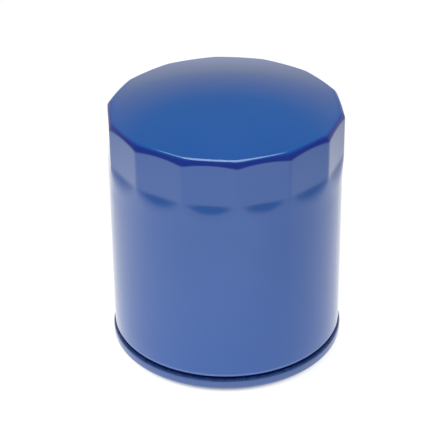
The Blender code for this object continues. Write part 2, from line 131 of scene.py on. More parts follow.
CAP_SHEET = 0.5
LOWER_CAP_HOLE = 11.9
UPPER_CAP_HOLE = 13.2
CAP_BEAD = 24.0  # radius of the ring embossed in the caps
CAP_BEAD_DEPTH = 0.22
BOND_INNER = 14.8
TUBE_SHEET = 0.5
TUBE_HOLE_RADIUS = 2.4
TUBE_HOLE_ROWS = 5
TUBE_HOLES_PER_ROW = 7
TUBE_SEAM = math.tau / TUBE_HOLES_PER_ROW / 4
PLEATS = 40
PAPER = 0.7
PLEAT_OUTER = 32.4
PLEAT_INNER = 16.0
PLEAT_TIP_HALF = 0.75  # half width of the paper's middle line over a tip
PLEAT_VALLEY_HALF = 0.7
PLEAT_BOW = 0.12  # how far the flanks wander sideways
PLEAT_LEVELS = 14
CLIP_SHEET = 0.4
CLIP_LEG = 6.5

BYPASS_SHEET = 0.6
BYPASS_CUP_RADIUS = 12.9
BYPASS_SEAT_RADIUS = 7.5
STEM_RADIUS = 1.5
CAGE_WALL_RADIUS = 11.8
CAGE_WINDOWS = 4
BYPASS_WIRE = 0.65
BYPASS_COIL = 7.2
BYPASS_TURNS = 4
SPRING_WIRE = 1.0
SPRING_TOP_COIL = 10.5
SPRING_BOTTOM_COIL = 14.4
SPRING_TURNS = 2.5
SPRING_SEAT_SHEET = 0.6

FLUTE_STEPS = 26  # facets round one flute
DOME_STEPS = 20
CORNER_STEPS = 22
FLAT_STEPS = 12
RUNOUT_STEPS = 28
WALL_STEPS = 8
ROUND_STEPS = 168  # facets round a large turned piece
SMALL_STEPS = 96


# ---- outlines

def arc(centre, radius, start, end, steps=8):
    """Points along an arc from start to end degrees, both ends included."""
    points = []
    for i in range(steps + 1):
        angle = math.radians(start + (end - start) * i / steps)
        points.append((centre[0] + radius * math.cos(angle), centre[1] + radius * math.sin(angle)))
    return points


def fillet(points, radius, closed=True, steps=4):
    """The outline with each corner rounded to a radius, or less where a side is too short."""
    count = len(points)
    rounded = []
    for i, corner in enumerate(points):
        here = Vector(corner)
        back = Vector(points[i - 1]) - here
        ahead = Vector(points[(i + 1) % count]) - here
        half = back.angle(ahead) / 2
        if half > math.radians(89.5) or not closed and i in (0, count - 1):
            rounded.append(corner)
            continue
        trim = min(radius / math.tan(half), 0.48 * back.length, 0.48 * ahead.length)
        start = here + back.normalized() * trim
        end = here + ahead.normalized() * trim
        for step in range(steps + 1):
            t = step / steps
            bend = start * (1 - t) ** 2 + here * 2 * t * (1 - t) + end * t * t
            rounded.append((bend.x, bend.y))
    return rounded


def left_normal(a, b):
    length = math.dist(a, b)
    return ((a[1] - b[1]) / length, (b[0] - a[0]) / length)


def offset(path, distance, closed=False):
    """The path moved to its left by a distance, with mitred corners."""
    count = len(path)
    moved = []
    for i, (x, z) in enumerate(path):
        if closed:
            before, after = path[i - 1], path[(i + 1) % count]
            first, last = left_normal(before, path[i]), left_normal(path[i], after)
        else:
            first = left_normal(path[max(i - 1, 0)], path[max(i, 1)])
            last = left_normal(path[min(i, count - 2)], path[min(i + 1, count - 1)])
        mitre = distance / (1 + first[0] * last[0] + first[1] * last[1])
        moved.append((x + (first[0] + last[0]) * mitre, z + (first[1] + last[1]) * mitre))
    return moved


def sheet(path, thickness):
    """Closed outline of sheet metal whose middle follows the path, with softened cut edges."""
    outline = offset(path, thickness / 2) + offset(path, -thickness / 2)[::-1]
    soft = thickness * 0.25
    last = len(path)
    rounded = []
    for i, point in enumerate(outline):
        if i in (0, last - 1, last, len(outline) - 1):
            corner = [outline[i - 1], point, outline[(i + 1) % len(outline)]]
            rounded += fillet(corner, soft, closed=False, steps=2)[1:-1]
        else:
            rounded.append(point)
    return rounded


def box_outline(inner, outer, bottom, top):
    return [(inner, top), (outer, top), (outer, bottom), (inner, bottom)]


def subdivided(outline, longest):
    """The closed outline with no side longer than the given length."""
    fine = []
    for a, b in zip(outline, outline[1:] + outline[:1]):
        pieces = max(math.ceil(math.dist(a, b) / longest), 1)
        for i in range(pieces):
            t = i / pieces
            fine.append((a[0] + (b[0] - a[0]) * t, a[1] + (b[1] - a[1]) * t))
    return fine


# ---- meshes

def add(name, data):
    """Object of a mesh, lamp or camera, put into the scene."""
    obj = bpy.data.objects.new(name, data)
    bpy.context.scene.collection.objects.link(obj)
    return obj


def make_object(name, mesh, material, sharp=None):
    """Object of a mesh, shaded smooth, with edges sharper than the given degrees kept crisp."""
    obj = add(name, mesh)
    mesh.materials.append(material)
    mesh.shade_smooth()
    if sharp is not None:
        mesh.set_sharp_from_angle(angle=math.radians(sharp))
    return obj


def mesh_from(name, points, faces):
    """Closed mesh of points in millimetres, with its faces turned outward."""
    mesh = bpy.data.meshes.new(name)
    mesh.from_pydata([(x * MM, y * MM, z * MM) for x, y, z in points], [], faces)
    made = bmesh.new()
    made.from_mesh(mesh)
    bmesh.ops.remove_doubles(made, verts=made.verts, dist=0.000001)
    bmesh.ops.recalc_face_normals(made, faces=made.faces)
    made.to_mesh(mesh)
    made.free()
    return mesh


def grid_faces(around, along, wrap_along=False):
    """Quads of a grid that closes round its first direction, and along its second if asked."""
    faces = []
    for i in range(around):
        next_i = (i + 1) % around
        for j in range(along if wrap_along else along - 1):
            next_j = (j + 1) % along
            faces.append((i * along + j, next_i * along + j, next_i * along + next_j, i * along + next_j))
    return faces


def capped(name, points, around):
    """Mesh of lines of points side by side, which close into a tube with a flat face at each end."""
    along = len(points) // around
    ends = [tuple(range(first, len(points), along)) for first in (0, along - 1)]
    return mesh_from(name, points, grid_faces(around, along) + ends)


def loft(name, outlines, wrap_along=True):
    """Mesh through one outline of (radius, height) points for each step round the axis."""
    around = len(outlines)
    points = []
    for i, outline in enumerate(outlines):
        angle = math.tau * i / around
        for radius, height in outline:
            points.append((radius * math.cos(angle), radius * math.sin(angle), height))
    return mesh_from(name, points, grid_faces(around, len(outlines[0]), wrap_along))


def lathe(name, outline, around=ROUND_STEPS, place=None):
    """Mesh of a closed outline turned about Z. place(angle, radius, height) can move a point."""
    outlines = []
    for i in range(around):
        angle = math.tau * i / around
        outlines.append(outline if place is None else [place(angle, *point) for point in outline])
    return loft(name, outlines)


def sweep(name, route, wire, sides=14):
    """Round wire along a list of points in millimetres, with domed ends."""
    frames = []
    for i, point in enumerate(route):
        ahead = (route[min(i + 1, len(route) - 1)] - route[max(i - 1, 0)]).normalized()
        out = Vector((point.x, point.y, 0)).normalized()
        side = ahead.cross(out).normalized()
        frames.append((point, side.cross(ahead), side, wire))
    for end, along in ((0, -1), (-1, 1)):
        point, out, side, _ = frames[end]
        dome = []
        for share in (0.4, 0.75, 0.97):
            shift = out.cross(side) * along * wire * 0.5 * share
            dome.append((point + shift, out, side, wire * math.sqrt(1 - share * share)))
        frames = dome[::-1] + frames if end == 0 else frames + dome
    points = []
    for k in range(sides):
        turn = math.tau * k / sides
        for point, out, side, radius in frames:
            points.append(point + out * radius * math.cos(turn) + side * radius * math.sin(turn))
    return capped(name, points, sides)


def drill(mesh, cutters):
    """The mesh with closed cutter meshes taken out of it."""
    tool_mesh = bpy.data.meshes.new("drill_tool")
    joined = bmesh.new()
    for cutter in cutters:
        joined.from_mesh(cutter)
    joined.to_mesh(tool_mesh)
    joined.free()
    body = add("drill_blank", mesh)
    tool = add("drill_tool", tool_mesh)
    boolean = body.modifiers.new("holes", "BOOLEAN")
    boolean.operation = "DIFFERENCE"
    boolean.solver = "EXACT"
    boolean.object = tool
    graph = bpy.context.evaluated_depsgraph_get()
    cut = bpy.data.meshes.new_from_object(body.evaluated_get(graph))
    bpy.data.objects.remove(body, do_unlink=True)
    bpy.data.objects.remove(tool, do_unlink=True)
    return cut


def ring_of(cutter, count, reach, height=0.0, start=0.5):
    """Copies of a cutter round the axis, the first one turned by a share of their spacing."""
    copies = []
    for i in range(count):
        turn = Matrix.Rotation(math.tau * (i + start) / count, 4, "Z")
        copy = cutter.copy()
        copy.transform(turn @ Matrix.Translation((reach * MM, 0, height * MM)))
        copies.append(copy)
    return copies


def fit(obj, body, node):
    """The piece stands for a CAD node, whose part it hides, and rides on a body."""
    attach(obj, body)
    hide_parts(node)


def turned(name, outline, material, body, node, around=ROUND_STEPS, place=None, sharp=None):
    """Piece that is turned about Z, made and fitted."""
    fit(make_object(name, lathe(name, outline, around, place), material, sharp), body, node)


# ---- materials

class Nodes:
    """Material or world under construction, with short ways to add and join nodes."""

    def __init__(self, owner, shader, coordinates):
        owner.use_nodes = True
        self.tree = owner.node_tree
        self.shader = self.tree.nodes[shader]
        self.place = self.tree.nodes.new("ShaderNodeTexCoord").outputs[coordinates]

    def set(self, socket, value):
        self.shader.inputs[socket].default_value = value

    def join(self, output, socket):
        self.tree.links.new(output, self.shader.inputs[socket])

    def node(self, kind, values=(), **settings):
        """Node with its settings, and input values that are numbers or other nodes' outputs."""
        made = self.tree.nodes.new(kind)
        for key, value in settings.items():
            setattr(made, key, value)
        for key, value in dict(values).items():
            if isinstance(value, bpy.types.NodeSocket):
                self.tree.links.new(value, made.inputs[key])
            else:
                made.inputs[key].default_value = value
        return made

    def math(self, operation, a, b=0.0):
        return self.node("ShaderNodeMath", {0: a, 1: b}, operation=operation).outputs[0]

    def times(self, a, b):
        return self.math("MULTIPLY", a, b)

    def plus(self, a, b):
        return self.math("ADD", a, b)

    def minus(self, a, b):
        return self.math("SUBTRACT", a, b)

    def distance(self, a, b):
        """Length of a flat vector with the parts a and b."""
        return self.math("SQRT", self.plus(self.times(a, a), self.times(b, b)))

    def vector(self, operation, a, b=(0, 0, 0)):
        return self.node("ShaderNodeVectorMath", {0: a, 1: b}, operation=operation).outputs

    def along(self, direction):
        return self.vector("DOT_PRODUCT", self.place, direction)["Value"]

    def between(self, value, low, high, start=0.0, end=1.0):
        """The value mapped smoothly from its low and high to a start and an end."""
        values = {"Value": value, "From Min": low, "From Max": high, "To Min": start, "To Max": end}
        made = self.node("ShaderNodeMapRange", values, interpolation_type="SMOOTHSTEP")
        return made.outputs["Result"]

    def mix(self, share, first, last):
        """Colour between two colours or outputs."""
        made = self.node("ShaderNodeMix", data_type="RGBA")
        self.tree.links.new(share, made.inputs["Factor"])
        for socket, value in (("A", first), ("B", last)):
            target = next(i for i in made.inputs if i.name == socket and i.type == "RGBA")
            if isinstance(value, bpy.types.NodeSocket):
                self.tree.links.new(value, target)
            else:
                target.default_value = (*value, 1.0)
        return next(o for o in made.outputs if o.type == "RGBA")


class Surface(Nodes):
    """Principled material under construction."""

    def __init__(self, name, metallic, roughness):
        self.material = bpy.data.materials.new(name)
        super().__init__(self.material, "Principled BSDF", "Object")
        self.set("Metallic", metallic)
        self.set("Roughness", roughness)

    def noise(self, size, detail=3.0, roughness=0.55, stretch=(1, 1, 1)):
        """Noise from 0 to 1 whose features are about size metres wide."""
        scaled = self.vector("MULTIPLY", self.place, stretch)[0]
        values = {"Vector": scaled, "Scale": 1 / size, "Detail": detail, "Roughness": roughness}
        return self.node("ShaderNodeTexNoise", values).outputs["Fac"]

    def colour(self, share, first, last):
        self.join(self.mix(share, first, last), "Base Color")

    def bump(self, height, distance, strength=1.0):
        made = self.node("ShaderNodeBump", {"Height": height, "Distance": distance, "Strength": strength})
        self.join(made.outputs["Normal"], "Normal")

    def radius(self):
        """Distance from the can's axis, in metres."""
        return self.vector("LENGTH", self.vector("MULTIPLY", self.place, (1, 1, 0))[0])["Value"]

    def height(self):
        return self.node("ShaderNodeSeparateXYZ", {0: self.place}).outputs["Z"]

    def facing_up(self):
        """Upward part of the surface's direction: 1 on a level surface, 0 on a wall."""
        normal = self.place.node.outputs["Normal"]
        return self.node("ShaderNodeSeparateXYZ", {0: normal}).outputs["Z"]


ENAMEL_BLUE = (0.012, 0.126, 0.530)
ENAMEL_SHADE = (0.016, 0.106, 0.490)
ENAMEL_CORNER_PAINTED_SHADE = (0.030, 0.060, 0.430)  # painted shade: darker violet round the can's upper corner
ENAMEL_EDGE_HIGHLIGHT = (0.120, 0.260, 0.720)  # painted highlight: lighter along the wall's lower edge
ENAMEL_DUST = (0.30, 0.36, 0.52)
ENAMEL_SEAM_PAINTED_SHADE = (0.004, 0.016, 0.110)  # painted shade: in the groove over the seam and on the seam roll


def enamel_colour(surface):
    """Blue enamel: deeper in broad patches, with painted shade (darker violet) round the can's upper
    corner and in the groove over the seam, a painted highlight along the wall's lower edge, and a few
    specks of dust."""
    patches = surface.between(surface.noise(0.018, 2.0), 0.35, 0.65)
    colour = surface.mix(surface.times(patches, 0.12), ENAMEL_BLUE, ENAMEL_SHADE)
    cells = surface.node("ShaderNodeTexVoronoi", {"Vector": surface.place, "Scale": 110.0})
    near = surface.between(cells.outputs["Distance"], 0.008, 0.028, 1.0, 0.0)
    chosen = surface.between(surface.noise(0.012, 0.0), 0.64, 0.68)
    specks = surface.times(surface.times(near, chosen), 0.5)
    height = surface.height()
    facing_up = surface.facing_up()
    # painted shade: the rounded corner between the dome and the wall turns darker violet
    corner = surface.times(surface.between(facing_up, 0.80, 0.93, 1.0, 0.0),
                           surface.between(facing_up, 0.12, 0.26))
    corner = surface.times(corner, surface.between(height, 0.079, 0.080))
    colour = surface.mix(corner, colour, ENAMEL_CORNER_PAINTED_SHADE)
    # painted shade: the groove between the wall's lower edge and the seam turns dark
    groove = surface.times(surface.between(surface.radius(), 0.0366, 0.0372, 1.0, 0.0),
                           surface.between(height, 0.0062, 0.0068, 0.8, 0.0))
    colour = surface.mix(groove, colour, ENAMEL_SEAM_PAINTED_SHADE)
    # painted highlight: a lighter band from the wall's lower edge downward
    edge_highlight = surface.times(surface.between(height, 0.0072, 0.0078, 1.0, 0.0), 0.9)
    colour = surface.mix(edge_highlight, colour, ENAMEL_EDGE_HIGHLIGHT)
    return surface.mix(specks, colour, ENAMEL_DUST)


def enamel_gloss(surface):
    surface.bump(surface.noise(0.0022, 2.0), 0.000004, 0.5)
    surface.set("IOR", 1.52)
    surface.set("Coat Weight", 0.5)
    surface.set("Coat Roughness", 0.03)
    surface.set("Coat IOR", 1.42)


def enamel():
    surface = Surface("blue_enamel_gloss", 0.0, 0.04)
    surface.join(enamel_colour(surface), "Base Color")
    enamel_gloss(surface)
    return surface.material


def seam_enamel():
    """The can's enamel outside, which thins to bare zinc-plated steel under the seam, with painted shade
    on the seam roll.
    """
    surface = Surface("blue_enamel_oversprayed", 0.0, 0.06)
    grain = surface.noise(0.0012, 4.0, 0.7)
    edge = surface.plus(surface.radius(), surface.times(grain, 0.0022))
    outside = surface.between(edge, 0.0362, 0.0374)
    zinc = surface.mix(surface.noise(0.0035, 3.0), (0.46, 0.46, 0.44), (0.62, 0.61, 0.57))
    # painted shade: the seam roll darkened by about a third, and fully dark at its top under the wall's
    # edge
    level = surface.plus(surface.height(), surface.times(grain, 0.0008))
    seam_shade = surface.between(level, 0.0054, 0.0063, 0.35, 1.0)
    paint = surface.mix(seam_shade, enamel_colour(surface), ENAMEL_SEAM_PAINTED_SHADE)
    surface.colour(outside, zinc, paint)
    surface.join(surface.minus(1.0, outside), "Metallic")
    enamel_gloss(surface)
    return surface.material


def turned_steel():
    """Thick plate, faintly ringed by its press tool and dulled by a film of oil."""
    surface = Surface("oiled_plate_steel", 1.0, 0.4)
    values = {"W": surface.times(surface.radius(), 3500.0), "Scale": 1.0, "Detail": 3.0}
    rings = surface.node("ShaderNodeTexNoise", values, noise_dimensions="1D")
    stain = surface.between(surface.noise(0.006, 4.0), 0.38, 0.68)
    surface.colour(stain, (0.44, 0.43, 0.41), (0.27, 0.26, 0.25))
    surface.join(surface.between(rings.outputs["Fac"], 0.3, 0.7, 0.30, 0.50), "Roughness")
    surface.bump(rings.outputs["Fac"], 0.00002, 0.35)
    return surface.material


def tinned_steel():
    """Bright rolled sheet with fine streaks along one direction and soft handling marks."""
    surface = Surface("rolled_tin_plate", 1.0, 0.3)
    streaks = surface.noise(0.0009, 2.0, 0.5, (1, 0.06, 1))
    marks = surface.noise(0.009, 4.0)
    surface.colour(marks, (0.66, 0.66, 0.64), (0.50, 0.50, 0.49))
    surface.join(surface.between(marks, 0.3, 0.7, 0.22, 0.40), "Roughness")
    surface.bump(streaks, 0.00001, 0.4)
    return surface.material


def drawn_wire():
    """Oil-tempered spring wire, dark with drawn streaks and bluish scale."""
    surface = Surface("oil_tempered_wire", 1.0, 0.36)
    scale = surface.noise(0.0016, 3.0)
    surface.colour(scale, (0.16, 0.16, 0.18), (0.30, 0.28, 0.27))
    surface.join(surface.between(scale, 0.3, 0.7, 0.28, 0.45), "Roughness")
    surface.bump(surface.noise(0.0005, 2.0), 0.00001, 0.5)
    return surface.material


def moulded_rubber(name, dark, light, roughness):
    """Matt moulded rubber with a talc bloom in patches and a fine grain."""
    surface = Surface(name, 0.0, roughness)
    bloom = surface.between(surface.noise(0.004, 4.0, 0.6), 0.45, 0.75)
    surface.colour(bloom, dark, light)
    surface.join(surface.between(bloom, 0.0, 1.0, roughness - 0.08, roughness + 0.12), "Roughness")
    surface.bump(surface.noise(0.0004, 3.0), 0.00003, 0.4)
    return surface.material


def cured_plastisol():
    """Grey-green cured adhesive with small bubbles and a soft skin."""
    surface = Surface("cured_plastisol", 0.0, 0.5)
    cells = surface.node("ShaderNodeTexVoronoi", {"Vector": surface.place, "Scale": 900.0})
    bubbles = surface.between(cells.outputs["Distance"], 0.1, 0.3)
    tone = surface.noise(0.005, 3.0)
    surface.colour(tone, (0.24, 0.29, 0.30), (0.36, 0.40, 0.41))
    surface.set("Subsurface Weight", 0.1)
    surface.set("Subsurface Radius", (0.001, 0.0012, 0.001))
    surface.bump(bubbles, 0.00008, 0.35)
    return surface.material


def resin_paper():
    """Resin-soaked filter paper: long fibres, cloudy colour and darker fold edges."""
    surface = Surface("resin_filter_paper", 0.0, 0.85)
    fibres = surface.noise(0.0008, 5.0, 0.7, (1, 1, 0.25))
    clouds = surface.noise(0.006, 3.0)
    outer = surface.between(surface.radius(), 0.0316, 0.0323)
    inner = surface.between(surface.radius(), 0.0163, 0.0170, 1.0, 0.0)
    paper = surface.mix(clouds, (0.74, 0.60, 0.33), (0.80, 0.68, 0.42))
    paper = surface.mix(surface.between(fibres, 0.45, 0.75, 0.0, 0.4), paper, (0.62, 0.47, 0.22))
    edges = surface.times(surface.math("MAXIMUM", outer, inner), 0.35)
    surface.colour(edges, paper, (0.55, 0.40, 0.18))
    surface.bump(fibres, 0.00006, 0.6)
    return surface.material


def seam_compound():
    surface = Surface("seam_compound", 0.0, 0.6)
    tone = surface.noise(0.002, 3.0)
    surface.colour(tone, (0.18, 0.18, 0.15), (0.30, 0.29, 0.25))
    surface.bump(surface.noise(0.0006, 2.0), 0.00003, 0.4)
    return surface.material


# ---- can

def flute_share(angle, soft=0.05):
    """Depth of the flutes round the can: 0 on a softened ridge, 1 in a flute's middle."""
    across = ((angle * FLUTES / math.tau) % 1.0) * 2.0 - 1.0
    deep = math.hypot(1.0 - across * across, soft) - soft
    return deep / (math.hypot(1.0, soft) - soft)


def smoothstep(t):
    t = min(max(t, 0.0), 1.0)
    return t * t * (3 - 2 * t)


def runout(drop):
    """What is left of a flute's depth at a share of the way down its run-out."""
    drop = min(drop, 1.0)
    return 1.0 - drop ** 2 * (15 - 40 * drop + 45 * drop ** 2 - 24 * drop ** 3 + 5 * drop ** 4)


def can_skin(angle, can):
    """Section of the can's outer skin at an angle, from the dome's middle to the hook's tip."""
    share = flute_share(angle)
    wall = can.radius - RIDGE_PROUD
    outer = can.radius - FLUTE_DEPTH * share
    down = CORNER + (CORNER_FLUTE_DOWN - CORNER) * share
    start = can.radius - CORNER - CORNER_SET_BACK * flute_share(angle, 0.3)
    across = outer - start
    rim = can.radius - CORNER

    def dome(radius):
        return can.top - DOME_RISE * (radius / rim) ** 2

    skin = []
    for i in range(DOME_STEPS):
        radius = start * (1.0 - (1.0 - i / DOME_STEPS) ** 2)
        skin.append((radius, dome(radius)))
    slope = math.degrees(math.atan2(2 * DOME_RISE, rim))
    centre = dome(start) - down
    for x, z in arc((0, 0), 1.0, 90 - slope, 0, CORNER_STEPS):
        skin.append((start + across * x, centre + down * z))
    for i in range(1, FLAT_STEPS + 1):
        skin.append((outer, centre + (FLUTE_BOTTOM - centre) * i / FLAT_STEPS))
    bowl = FLUTE_RUNOUT * math.sqrt(max(share, 0.02))
    for i in range(1, RUNOUT_STEPS + 1):
        drop = FLUTE_RUNOUT * i / RUNOUT_STEPS
        proud = RIDGE_PROUD * (1.0 - smoothstep(drop / FLUTE_RUNOUT))
        recess = FLUTE_DEPTH * share * runout(drop / bowl)
        skin.append((wall + proud - recess, FLUTE_BOTTOM - drop))
    low_wall = WALL_BOTTOM + WALL_EDGE_RADIUS
    high_wall = skin[-1][1]
    for i in range(1, WALL_STEPS):
        skin.append((wall, high_wall + (low_wall - high_wall) * i / WALL_STEPS))
    skin += arc((wall - WALL_EDGE_RADIUS, low_wall), WALL_EDGE_RADIUS, 0, -90, 8)
    skin += arc((NECK_RADIUS + NECK_BLEND, WALL_BOTTOM - NECK_BLEND), NECK_BLEND, 90, 180, 5)
    hook_floor = can.bottom + CAN_SHEET
    fold = SEAM_POCKET / 2
    skin += arc((NECK_RADIUS + fold, hook_floor + fold), fold, 180, 360, 10)
    skin.append((NECK_RADIUS + SEAM_POCKET, HOOK_TIP))
    return skin


def make_can(paint):
    can = Extent("can")
    outlines = []
    around = FLUTES * FLUTE_STEPS
    for i in range(around):
        skin = can_skin(math.tau * i / around, can)
        far_side = offset(skin, -CAN_SHEET)[::-1]
        far_side[-1] = (0.0, can.top - CAN_SHEET)
        outlines.append(skin + far_side)
    mesh = loft("can_shell", outlines, wrap_along=False)
    fit(make_object("can_shell", mesh, paint), "housing", "can")


# ---- cover and base

def make_seaming_cover(paint):
    """Thin cover: hooked into the can at its edge, then chuck wall, gasket groove and rib."""
    cover = Extent("seaming_cover")
    half = COVER_SHEET / 2
    hook = NECK_RADIUS + GAP + half
    wall = cover.radius - half
    fold = (wall - hook) / 2
    chuck = NECK_RADIUS - CAN_SHEET - GAP - half
    low = cover.bottom + half + SEAM_CORNER
    path = [(hook, cover.bottom + COVER_SHEET + CAN_SHEET + 4 * GAP)]
    path += arc((hook + fold, cover.top - half - fold), fold, 180, 0, 14)
    path += arc((wall - SEAM_CORNER, low), SEAM_CORNER, 0, -90, 7)
    path += arc((chuck + SEAM_CORNER, low), SEAM_CORNER, -90, -180, 7)
    path += arc((chuck - COVER_BEND, GROOVE_FLOOR - COVER_BEND), COVER_BEND, 0, 90, 5)
    rib = (RIB_OUTER - RIB_INNER) / 2
    path += arc((RIB_OUTER + COVER_BEND, GROOVE_FLOOR - COVER_BEND), COVER_BEND, 90, 180, 5)
    path += arc((RIB_INNER + rib, RIB_BOTTOM + rib), rib, 0, -180, 12)
    path += arc((RIB_INNER - COVER_BEND, GROOVE_FLOOR - COVER_BEND), COVER_BEND, 0, 90, 5)
    flat = RIB_INNER - COVER_BEND - COVER_HOLE
    path += [(COVER_HOLE + flat * (1 - i / 16), GROOVE_FLOOR) for i in range(1, 17)]

    def welded(angle, radius, height):
        """Small round dimples of projection welds in the flat ring round the hole."""
        nearest = round(angle * SPOT_WELDS / math.tau) * math.tau / SPOT_WELDS
        away = math.hypot(radius - WELD_CIRCLE, (angle - nearest) * radius)
        if away >= WELD_RADIUS or height > GROOVE_FLOOR:
            return radius, height
        return radius, height + WELD_DEPTH * math.cos(away / WELD_RADIUS * math.pi / 2) ** 0.5

    turned("cover_sheet", sheet(path, COVER_SHEET), paint,
           "housing", "seaming_cover", 3 * ROUND_STEPS, welded)


def make_seam_sealant(compound):
    """Bead of sealing compound, slightly uneven, at the bottom of the pocket of the seam."""
    bead = Extent("seam_sealant")
    outline = fillet(box_outline(bead.radius - COVER_SHEET, bead.radius, bead.bottom, bead.top), 0.12)

    def uneven(angle, radius, height):
        return radius, height + 0.06 * math.sin(23 * angle) * (height - bead.bottom) / bead.height

    turned("sealant_bead", outline, compound, "housing", "seam_sealant", place=uneven)


def inlet_cutter():
    """Closed outline turned into a drill bit that leaves both edges of a hole chamfered."""
    plate = Extent("tapping_plate")
    top = plate.bottom + PLATE_THICKNESS
    reach = INLET_RADIUS + EDGE_BREAK
    outline = [
        (0.0, plate.bottom - 1), (reach, plate.bottom - 1), (reach, plate.bottom),
        (INLET_RADIUS, plate.bottom + EDGE_BREAK), (INLET_RADIUS, top - EDGE_BREAK), (reach, top),
        (reach, top + 1), (0.0, top + 1),
    ]
    return loft("inlet_cutter", [outline] * 48, wrap_along=False)


def make_tapping_plate(steel):
    """Thick plate: extruded neck with an M18 thread, and a ring of chamfered oil inlet holes."""
    plate = Extent("tapping_plate")
    top = plate.bottom + PLATE_THICKNESS
    neck = THREAD_CREST + NECK_WALL
    outside = [
        (neck, plate.top), (neck, top + 1.2), (neck + 1.2, top), (plate.radius, top),
        (plate.radius, plate.bottom), (THREAD_CREST + 1.0, plate.bottom),
        (THREAD_CREST, plate.bottom + 1.0), (THREAD_CREST, plate.top - 0.7),
        (THREAD_CREST + 0.7, plate.top),
    ]
    outline = subdivided(fillet(outside, 0.45, steps=5), THREAD_PITCH / 10)

    def threaded(angle, radius, height):
        """Helical V grooves pressed out into the bore between its two chamfers."""
        if radius > THREAD_CREST + 0.02:
            return radius, height
        turns = (height - plate.bottom) / THREAD_PITCH - angle / math.tau
        groove = abs((turns % 1.0) * 2 - 1)
        return radius + THREAD_DEPTH * max(groove * 1.2 - 0.15, 0.0), height

    mesh = lathe("base_plate", outline, ROUND_STEPS, threaded)
    mesh = drill(mesh, ring_of(inlet_cutter(), INLET_HOLES, INLET_CIRCLE))
    fit(make_object("base_plate", mesh, steel, 40), "housing", "tapping_plate")


def make_gasket(rubber):
    """Square-cut ring with softened edges and two fine beads moulded on its sealing face."""
    ring = Extent("gasket")
    outline = fillet(box_outline(GASKET_INNER, ring.radius, ring.bottom, ring.top), 0.4, steps=6)
    middle = (ring.radius + GASKET_INNER) / 2

    def beaded(angle, radius, height):
        if height > ring.bottom + 0.01:
            return radius, height
        away = (abs(radius - middle) - 0.8) / 0.25
        return radius, height + 0.12 * (1 - math.exp(-away * away))

    turned("gasket_ring", subdivided(outline, 0.12), rubber,
           "housing", "gasket", place=beaded)


# ---- flexible pieces

def squashing(obj, body, node):
    """The piece rides on the joint's fixed body, with a mesh of its own."""
    fit(obj, body, node)
    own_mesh(obj)


def make_anti_drainback_valve(rubber):
    """Rubber collar on the plate's neck, with a ribbed conical flap that covers the inlet holes."""
    valve = Extent("anti_drainback_valve")
    bore = THREAD_CREST + NECK_WALL + GAP
    outside = [
        (bore, valve.top), (VALVE_COLLAR, valve.top), (VALVE_COLLAR, 14.0), (valve.radius - 2.0, 10.05),
        (valve.radius, 9.85), (valve.radius, valve.bottom), (valve.radius - 2.4, valve.bottom + 0.3),
        (VALVE_COLLAR + 0.6, 12.2), (bore, 12.4),
    ]
    outline = subdivided(fillet(outside, 0.4, steps=5), 0.5)

    def ribbed(angle, radius, height):
        """Fine concentric ribs, moulded on the flap's upper side only."""
        along = (radius - VALVE_COLLAR - 1.5) / (valve.radius - VALVE_COLLAR - 4.0)
        upper = height > 12.2 - (radius - VALVE_COLLAR) * 0.19
        if not 0.0 < along < 1.0 or not upper:
            return radius, height
        return radius, height - 0.12 * math.sin(along * 5 * math.pi) ** 2

    obj = make_object("drainback_flap", lathe("drainback_flap", outline, ROUND_STEPS, ribbed), rubber)
    squashing(obj, "housing", "anti_drainback_valve")


def coil_route(bottom, top, bottom_radius, top_radius, turns, closed=0.6):
    """Points along a coil spring's wire, with its end turns closed flat."""
    count = round(turns * 48)
    flat = closed / turns
    route = []
    for i in range(count + 1):
        share = i / count
        rise = min(max((share - flat) / (1 - 2 * flat), 0.0), 1.0)
        radius = bottom_radius + (top_radius - bottom_radius) * share
        angle = math.tau * turns * share
        height = bottom + (top - bottom) * (0.75 * rise + 0.25 * smoothstep(rise))
        route.append(Vector((radius * math.cos(angle), radius * math.sin(angle), height)))
    return route


def coil(name, steel, spring, wire, sides, *shape):
    """Coil spring of a round wire that fills the height of its CAD node."""
    route = coil_route(spring.bottom + wire, spring.top - wire, *shape)
    return make_object(name, sweep(name, route, wire, sides), steel)


def make_hold_down_spring(steel):
    """Conical coil between the by-pass flange and the spring seat."""
    spring = Extent("hold_down_spring")
    obj = coil("hold_down_coil", steel, spring, SPRING_WIRE, 20, SPRING_BOTTOM_COIL, SPRING_TOP_COIL,
               SPRING_TURNS)
    squashing(obj, "housing", "hold_down_spring")


def make_bypass_spring(steel):
    """Light coil inside the cage, under the poppet."""
    spring = Extent("bypass_spring")
    obj = coil("bypass_coil", steel, spring, BYPASS_WIRE, 16, BYPASS_COIL, BYPASS_COIL, BYPASS_TURNS)
    squashing(obj, "element", "bypass_spring")


def make_spring_seat(tin):
    """Pressed washer under the dome, with a lip that centres the spring from inside."""
    seat = Extent("spring_seat")
    half = SPRING_SEAT_SHEET / 2
    level = seat.top - half
    lip = SPRING_TOP_COIL - SPRING_WIRE - 1.2
    path = [(seat.radius, level), (seat.radius - 1.0, level)]
    path += arc((lip + 0.6, level - 0.6), 0.6, 90, 180, 8)
    path += [(lip, level - 1.4), (lip, seat.bottom)]
    turned("spring_washer", sheet(path, SPRING_SEAT_SHEET), tin,
           "housing", "spring_seat", SMALL_STEPS, sharp=50)


# ---- element

